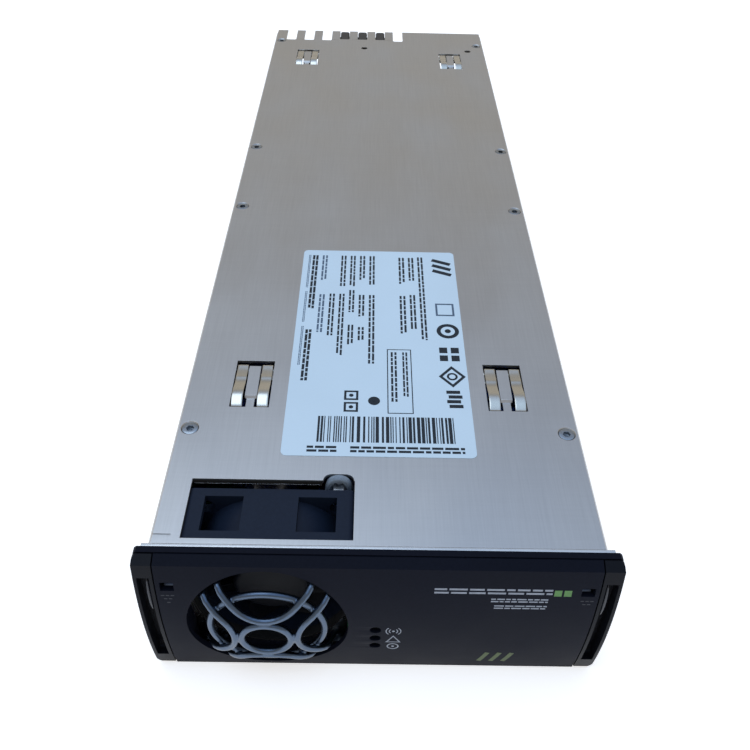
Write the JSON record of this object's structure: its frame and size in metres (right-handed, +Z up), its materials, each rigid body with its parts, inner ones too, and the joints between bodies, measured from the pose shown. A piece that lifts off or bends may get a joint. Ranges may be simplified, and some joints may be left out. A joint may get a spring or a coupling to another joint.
{
  "type": "rackmount power module",
  "caption": "Slim plug-in power module for a rack shelf: sheet steel case, black bowed front with guarded fan, swing-out handles, sprung cover contacts and rear blade connector.",
  "frame": {"origin": "centre of the overall box at the underside, which is the plane that the tray and fascia rest on", "axes": "+X to the right seen from the front, +Y from the front panel towards the rear connector, +Z up"},
  "size_m": [0.109, 0.327, 0.0423],
  "materials": {
    "brushed_plate": "brushed, long grain",
    "bulkhead_plate": "satin",
    "fascia_plastic": "fine matte texture",
    "handle_plastic": "fine matte texture",
    "guard_wire": "satin",
    "fan_plastic": "moulded",
    "rotor_plastic": "moulded",
    "spring_steel": "polished",
    "catch_metal": "satin",
    "screw_steel": "zinc plated",
    "pin_steel": "ground",
    "label_film": "satin film",
    "insulation_film": "film",
    "gasket_foam": "closed cell foam",
    "board_laminate": "solder mask",
    "light_pipe": "smoked",
    "led_body": "clear",
    "flex_film": "polyimide",
    "lead_sleeve": "sleeved",
    "plug_nylon": "moulded",
    "connector_plastic": "moulded",
    "contact_brass": "plated",
    "copper_wire": "enamelled",
    "heat_sink_alloy": "extruded",
    "package_epoxy": "moulded",
    "capacitor_sleeve": "shrink sleeve",
    "small_capacitor_sleeve": "shrink sleeve",
    "ferrite": "sintered",
    "powder_core": "coated",
    "winding_tape": "polyester tape",
    "film_capacitor_box": "boxed",
    "relay_case": "moulded",
    "fuse_ceramic": "ceramic",
    "standoff_brass": "turned"
  },
  "bodies": {
    "chassis": {"bottom_tray": "brushed_plate", "top_cover": "brushed_plate", "rear_panel": "brushed_plate", "front_bulkhead": "bulkhead_plate", "insulation_sheet": "insulation_film", "cover_screws": "screw_steel", "side_screws": "screw_steel", "board_standoffs": "standoff_brass", "board_screws": "screw_steel", "fascia_base": "fascia_plastic", "fascia_cover": "fascia_plastic", "fascia_screws": "screw_steel", "handle_pin_left": "pin_steel", "handle_pin_right": "pin_steel", "catch_spring_left": "pin_steel", "catch_spring_right": "pin_steel", "light_pipe": "light_pipe", "led_board": "board_laminate", "led_chips": "led_body", "led_flex": "flex_film", "guard_wire": "guard_wire", "guard_rings": "guard_wire", "fan_screws": "screw_steel", "fan_gasket": "gasket_foam", "fan_frame": "fan_plastic", "fan_stator": "copper_wire", "fan_lead": "lead_sleeve", "fan_plug": "plug_nylon", "rating_label": "label_film", "main_board": "board_laminate", "rear_connector": "connector_plastic", "power_blades": "contact_brass", "signal_pins": "contact_brass", "heat_sink_left": "heat_sink_alloy", "heat_sink_right": "heat_sink_alloy", "transistors": "package_epoxy", "bulk_capacitors": "capacitor_sleeve", "transformer_core": "ferrite", "transformer_winding": "winding_tape", "boost_choke_core": "powder_core", "boost_choke_winding": "copper_wire", "output_chokes": "copper_wire", "output_capacitors": "small_capacitor_sleeve", "film_capacitors": "film_capacitor_box", "relays": "relay_case", "fuses": "fuse_ceramic", "line_filter_choke": "copper_wire", "control_board": "board_laminate", "control_chips": "package_epoxy"},
    "fan": {"fan_rotor": "rotor_plastic", "fan_shaft": "pin_steel"},
    "handle_left": {"handle_left": "handle_plastic"},
    "handle_right": {"handle_right": "handle_plastic"},
    "catch_left": {"catch_left": "catch_metal"},
    "catch_right": {"catch_right": "catch_metal"},
    "contact_spring_front_left": {"contact_spring_front_left": "spring_steel"},
    "contact_spring_front_right": {"contact_spring_front_right": "spring_steel"},
    "contact_spring_rear_left": {"contact_spring_rear_left": "spring_steel"},
    "contact_spring_rear_right": {"contact_spring_rear_right": "spring_steel"}
  },
  "joints": [
    {"name": "fan_spin", "type": "hinge", "parent": "chassis", "child": "fan", "pos_m": [-0.0255, -0.1435, 0.0204], "axis": [0, 1, 0], "continuous": true},
    {"name": "handle_left_swing", "type": "hinge", "parent": "chassis", "child": "handle_left", "pos_m": [-0.0523, -0.1567, 0.0024], "axis": [1, 0, 0], "range_deg": [0, 75]},
    {"name": "handle_right_swing", "type": "hinge", "parent": "chassis", "child": "handle_right", "pos_m": [0.0523, -0.1567, 0.0024], "axis": [1, 0, 0], "range_deg": [0, 75]},
    {"name": "catch_left_press", "type": "slide", "parent": "chassis", "child": "catch_left", "axis": [0, 0, -1], "range_m": [0, 0.0015], "stiffness_N_per_m": 300, "springref_m": -0.003, "deforming": ["catch_spring_left"]},
    {"name": "catch_right_press", "type": "slide", "parent": "chassis", "child": "catch_right", "axis": [0, 0, -1], "range_m": [0, 0.0015], "stiffness_N_per_m": 300, "springref_m": -0.003, "deforming": ["catch_spring_right"]},
    {"name": "contact_spring_front_left_flex", "type": "hinge", "parent": "chassis", "child": "contact_spring_front_left", "pos_m": [-0.0342, -0.0921, 0.03998], "axis": [1, 0, 0], "range_deg": [0, 5], "stiffness_Nm_per_rad": 0.5, "springref_deg": -1.15},
    {"name": "contact_spring_front_right_flex", "type": "hinge", "parent": "chassis", "child": "contact_spring_front_right", "pos_m": [0.0342, -0.0921, 0.03998], "axis": [1, 0, 0], "range_deg": [0, 5], "stiffness_Nm_per_rad": 0.5, "springref_deg": -1.15},
    {"name": "contact_spring_rear_left_flex", "type": "hinge", "parent": "chassis", "child": "contact_spring_rear_left", "pos_m": [-0.0342, 0.1359, 0.03998], "axis": [1, 0, 0], "range_deg": [0, 5], "stiffness_Nm_per_rad": 0.5, "springref_deg": -1.15},
    {"name": "contact_spring_rear_right_flex", "type": "hinge", "parent": "chassis", "child": "contact_spring_rear_right", "pos_m": [0.0342, 0.1341, 0.03998], "axis": [1, 0, 0], "range_deg": [0, 5], "stiffness_Nm_per_rad": 0.5, "springref_deg": -1.15}
  ]
}
